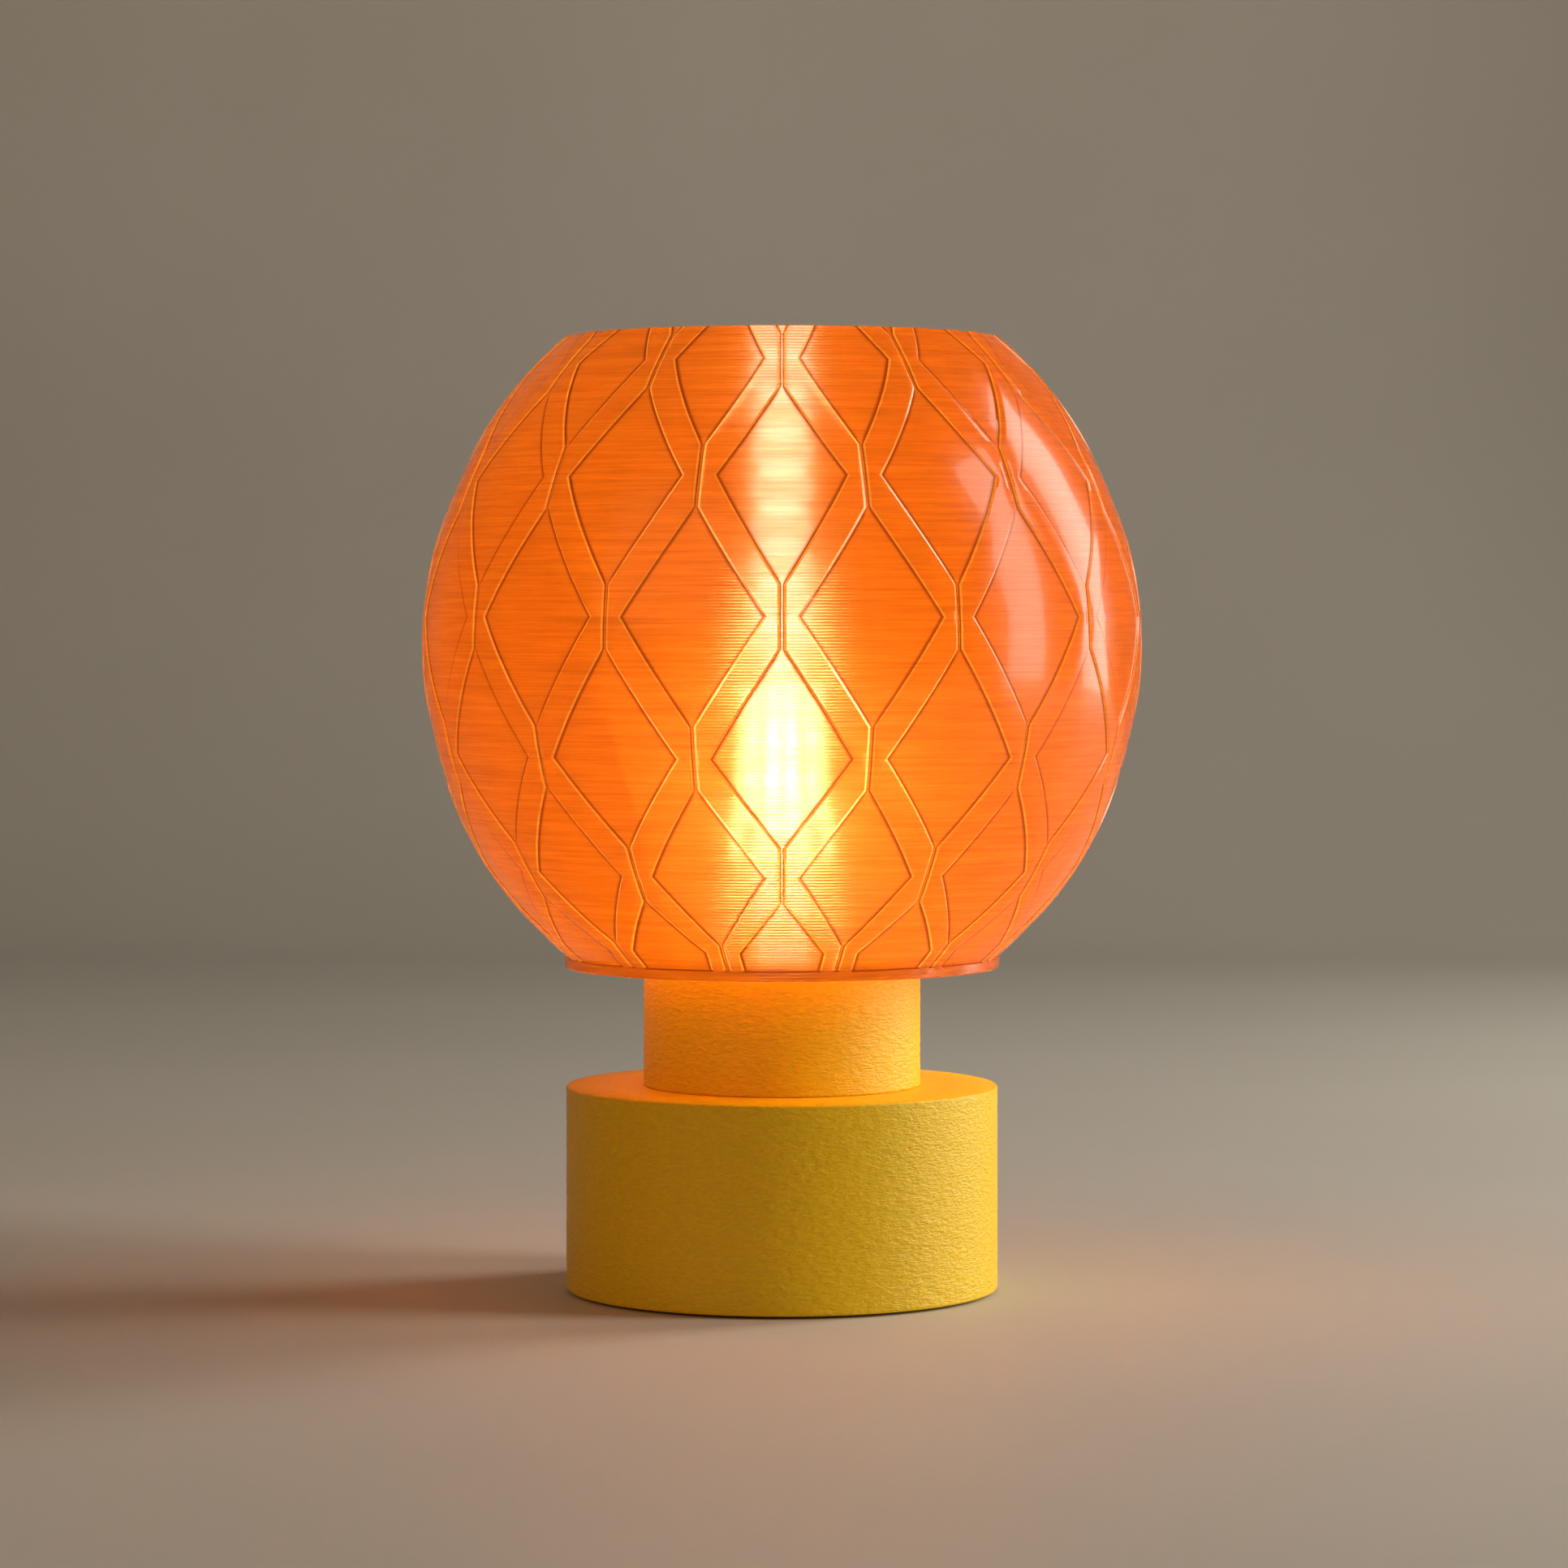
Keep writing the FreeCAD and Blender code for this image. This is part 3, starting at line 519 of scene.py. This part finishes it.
def drum_shape():
    """Fuzzy outer wall, flat top with its hole, and a hollow underneath. At the rear, rings of
    points run from a rectangle of the outer wall's grid into a flat round pocket, through the
    cord's hole and a second pocket, to the same rectangle of the inner wall's grid."""
    low, high, radius = drum_low.z, drum_high.z, drum_high.x
    inner = radius - wall_thickness
    columns, levels = 440, np.linspace(low, high, 140)
    turns = 2 * math.pi * np.arange(columns) / columns
    outer = fuzzy_wall(radius, low, high, columns, len(levels), 7)
    first, last = np.searchsorted(levels, [cord_height - 9 * MM, cord_height + 9 * MM])
    reach, cells = 11, last - first                # half the rectangle's columns, and its rows
    rest = [(radius * 0.8, high), (deck_hole + 4 * MM, high), (deck_hole, high),
            (deck_hole, high - deck), (inner * 0.8, high - deck)]
    above = np.linspace(high - deck, levels[last], 8, endpoint=False)
    below = np.linspace(levels[first], low, 3)
    inside = [(inner, h) for h in np.concatenate([above, levels[last:first:-1], below])]
    grid = np.concatenate([outer, lathe(rest + inside, turns)])
    inner_row = len(outer) + len(rest) + len(above)            # the rectangle's top, inside
    start = columns // 4 - reach
    faces = ring_faces(len(grid), columns).reshape(len(grid), columns, 4)
    kept = np.ones(faces.shape[:2], dtype=bool)
    for row in (first, inner_row):
        kept[row:row + cells, start:start + 2 * reach] = False
    faces = faces[kept]
    right, up = np.arange(2 * reach), np.arange(cells)
    column = np.concatenate([right, 0 * up + 2 * reach, 2 * reach - right, 0 * up]) + start
    row = np.concatenate([0 * right, up, 0 * right + cells, cells - up])
    outer_loop = (first + row) * columns + column
    inner_loop = (inner_row + cells - row) * columns + column
    points = grid.reshape(-1, 3)
    angle = np.arctan2(points[outer_loop, 2] - cord_height, points[outer_loop, 0])

    def flat_ring(size, depth):
        """Circle round the cord's way, in a plane across it."""
        x, z = size * np.cos(angle), size * np.sin(angle)
        return np.stack([x, depth + 0 * angle, cord_height + z], axis=1)

    def wall_ring(loop, share, wall):
        """Ring between a rectangle of a wall's grid and the pocket's edge."""
        ring_points = (1 - share) * points[loop] + share * flat_ring(pocket_radius, wall)
        span = (1 - share) * np.hypot(points[loop, 0], points[loop, 1]) + share * wall
        ring_points[:, 1] = np.sqrt(span ** 2 - ring_points[:, 0] ** 2)
        return ring_points

    rings = [wall_ring(outer_loop, 0.35, radius), wall_ring(outer_loop, 0.7, radius),
             wall_ring(outer_loop, 1.0, radius), flat_ring(pocket_radius, radius - pocket_depth),
             flat_ring(cord_hole, radius - pocket_depth), flat_ring(cord_hole, inner),
             flat_ring(pocket_radius, inner), wall_ring(inner_loop, 1.0, inner),
             wall_ring(inner_loop, 0.5, inner)]
    loops = [outer_loop] + [len(points) + len(angle) * k + np.arange(len(angle))
                            for k in range(len(rings))] + [inner_loop]
    bands = [np.stack([a, np.roll(a, -1), np.roll(b, -1), b], axis=1)
             for a, b in zip(loops, loops[1:])]
    shell = (np.concatenate([points] + rings), np.concatenate([faces] + bands))
    return joined([shell] + screw_posts(cover_post_circle, cover_top, high - deck / 2))


grid, faces = drum_shape()
drum = new_piece("drum_fuzzy_shell", grid, faces, fuzzy_yellow, "base", sharp=60.0)
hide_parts("base_drum")


def neck_shape():
    """Fuzzy outer wall, a plate at each end, the rings that centre the shade and the drum, and
    four posts for the screws that hold it down."""
    low = drum_high.z
    high = low + neck_height
    columns = 300
    turns = 2 * math.pi * np.arange(columns) / columns
    outer = fuzzy_wall(neck_radius, low, high, columns, 92, 31)
    inner = neck_radius - wall_thickness
    chamfer = 0.4 * MM
    top = high + spigot_height
    rest = [(spigot_radius, high), (spigot_radius, top - chamfer), (spigot_radius - chamfer, top),
            (spigot_bore + chamfer, top), (spigot_bore, top - chamfer), (spigot_bore, high),
            (top_hole, high), (top_hole, high - deck), (inner, high - deck),
            (inner, low + deck), (finder_bore, low + deck), (finder_bore, low - deck),
            (finder_radius, low - deck), (finder_radius, low)]
    grid = np.concatenate([outer, lathe(rest, turns)])
    posts = screw_posts(neck_post_circle, low + deck / 2, low + deck + neck_post_height)
    return joined([(grid, ring_faces(len(grid), columns))] + posts)


grid, faces = neck_shape()
neck = new_piece("neck_fuzzy_tube", grid, faces, fuzzy_yellow, "base", sharp=60.0)
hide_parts("neck_tube")

# ---- CAD pieces keep their shape and take a finish ----------------------------------------------
slot_of = {
    "base_cover": "yellow_pla_plain", "cover_screws": "zinc_steel", "rubber_feet": "black_rubber",
    "cord_bush": "black_rubber", "neck_screws": "zinc_steel", "holder_skirt": "white_thermoplastic",
    "shade_ring": "white_thermoplastic", "holder_cap": "white_thermoplastic",
    "holder_insert": "porcelain", "screw_shell": "nickelled_brass", "centre_contact": "brass",
    "terminal_screws": "brass", "bulb_envelope": "clear_glass", "bulb_stem": "clear_glass",
    "led_filaments": "filament_phosphor", "filament_frame": "nickel_wire",
    "bulb_cap": "nickelled_brass", "cap_insulator": "black_glass", "contact_tip": "solder_tin",
    "driver_board": "circuit_board", "driver_capacitor": "capacitor_sleeve",
}
for name, slot in slot_of.items():
    mesh = nodes[name].data
    mesh.materials.clear()
    mesh.materials.append(finishes[slot])
# clear glass throws no shadow, so the lights inside it reach the shade directly
for name in ("bulb_envelope", "bulb_stem"):
    nodes[name].visible_shadow = False

# ---- light --------------------------------------------------------------------------------------
def light(name, kind, place, colour, watts):
    """One lamp of the scene; its size is set by the caller."""
    data = bpy.data.lights.new(name, kind)
    data.energy = watts
    data.color = linear(colour)[:3]
    made = bpy.data.objects.new(name, data)
    made.location = place
    scene.collection.objects.link(made)
    return made


def lamp_light(name, height, radius, watts):
    """Soft warm light on the lamp's axis."""
    light(name, "POINT", (0, 0, height), "#FFE3B8", watts).data.shadow_soft_size = radius


def soft_box(name, place, aim, size_x, size_y, colour, watts):
    """Studio light: a rectangle that looks at a point."""
    made = light(name, "AREA", place, colour, watts)
    made.data.shape = "RECTANGLE"
    made.data.size = size_x
    made.data.size_y = size_y
    away = np.array(place, dtype=float) - np.array(aim, dtype=float)
    flat = math.hypot(away[0], away[1])
    made.rotation_euler = (math.atan2(flat, away[2]), 0, math.atan2(away[0], -away[1]))


# the filaments light the shade from the bulb
filament_low, filament_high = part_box("led_filaments")
bulb_heights = np.linspace(filament_low.z + 14 * MM, filament_high.z - 8 * MM, 3)
for index, height in enumerate(bulb_heights):
    lamp_light("bulb_light_%d" % (index + 1), height, 10.5 * MM, 0.28)
# the glass, the shade's floor and its far wall send light on along the whole axis
axis_heights = np.linspace(0.104, 0.256, 17)
watts_below, watts_above = 0.013, 0.021
for index, height in enumerate(axis_heights):
    watts = watts_above if height > filament_high.z else watts_below
    lamp_light("inner_glow_%d" % (index + 1), height, 7.5 * MM, watts)

# two tall window panes on the right, and a soft fill on the left
pane_places = ((1.38, -0.20, 0.62), (1.22, 0.60, 0.62))
for index, place in enumerate(pane_places):
    soft_box("window_pane_%d" % (index + 1), place, (0, 0, 0.20), 0.40, 1.30, "#FFFAF0", 13.0)
soft_box("warm_fill", (-1.1, -1.3, 0.9), (0, 0, 0.12), 1.2, 1.2, "#FFB980", 5.5)

# the deck under the shade's glowing floor is lit from close by
floor_glow = light("shade_floor_glow", "AREA", (0, 0, shade_bottom - 0.5 * MM), "#FF8A1E", 0.035)
floor_glow.data.shape = "DISK"
floor_glow.data.size = 2 * 56 * MM
floor_glow.visible_camera = False

world = bpy.data.worlds.new("studio")
world.use_nodes = True
backdrop = world.node_tree.nodes["Background"]
backdrop.inputs["Color"].default_value = linear("#6A695E")
backdrop.inputs["Strength"].default_value = 0.45
scene.world = world


# ---- floor --------------------------------------------------------------------------------------
def sweep_floor():
    """Floor that curves up into a wall behind: a straight, a quarter round and a straight, carried
    along x."""
    front, back, curve, top, half_width = 2.2, 1.3, 0.6, 2.4, 2.5
    angles = np.linspace(0, math.pi / 2, 24)
    y = np.concatenate([[-front], back + curve * np.sin(angles), [back + curve]])
    z = np.concatenate([[0.0], curve - curve * np.cos(angles), [top]])
    x = np.linspace(-half_width, half_width, 6)
    grid = np.stack(np.broadcast_arrays(x[None, :], y[:, None], z[:, None]), axis=-1)
    row, column = np.meshgrid(np.arange(len(y) - 1), np.arange(len(x) - 1), indexing="ij")
    first = row * len(x) + column
    quads = np.stack([first, first + 1, first + 1 + len(x), first + len(x)], axis=-1)
    return grid, quads.reshape(-1, 4)


def pale_floor():
    """Matt pale grey paint with a faint mottle."""
    made, tree = new_material("pale_matt_paint")
    place = add(tree, "ShaderNodeTexCoord")
    mottle = add(tree, "ShaderNodeTexNoise", {"Scale": 4.0, "Detail": 3.0,
                 "Vector": place.outputs["Object"]})
    tone = add(tree, "ShaderNodeValToRGB", {"Fac": mottle.outputs[0]})
    tone.color_ramp.elements[0].color = linear("#C9C3B9")
    tone.color_ramp.elements[1].color = linear("#D3CEC5")
    skin = add(tree, "ShaderNodeBsdfPrincipled", {"Base Color": tone.outputs[0], "Roughness": 0.6})
    add(tree, "ShaderNodeOutputMaterial", {"Surface": skin.outputs[0]})
    return made


grid, faces = sweep_floor()
mesh = bpy.data.meshes.new("floor")
mesh.from_pydata(grid.reshape(-1, 3).tolist(), [], faces.tolist())
mesh.shade_smooth()
mesh.materials.append(pale_floor())
floor = bpy.data.objects.new("floor", mesh)
scene.collection.objects.link(floor)
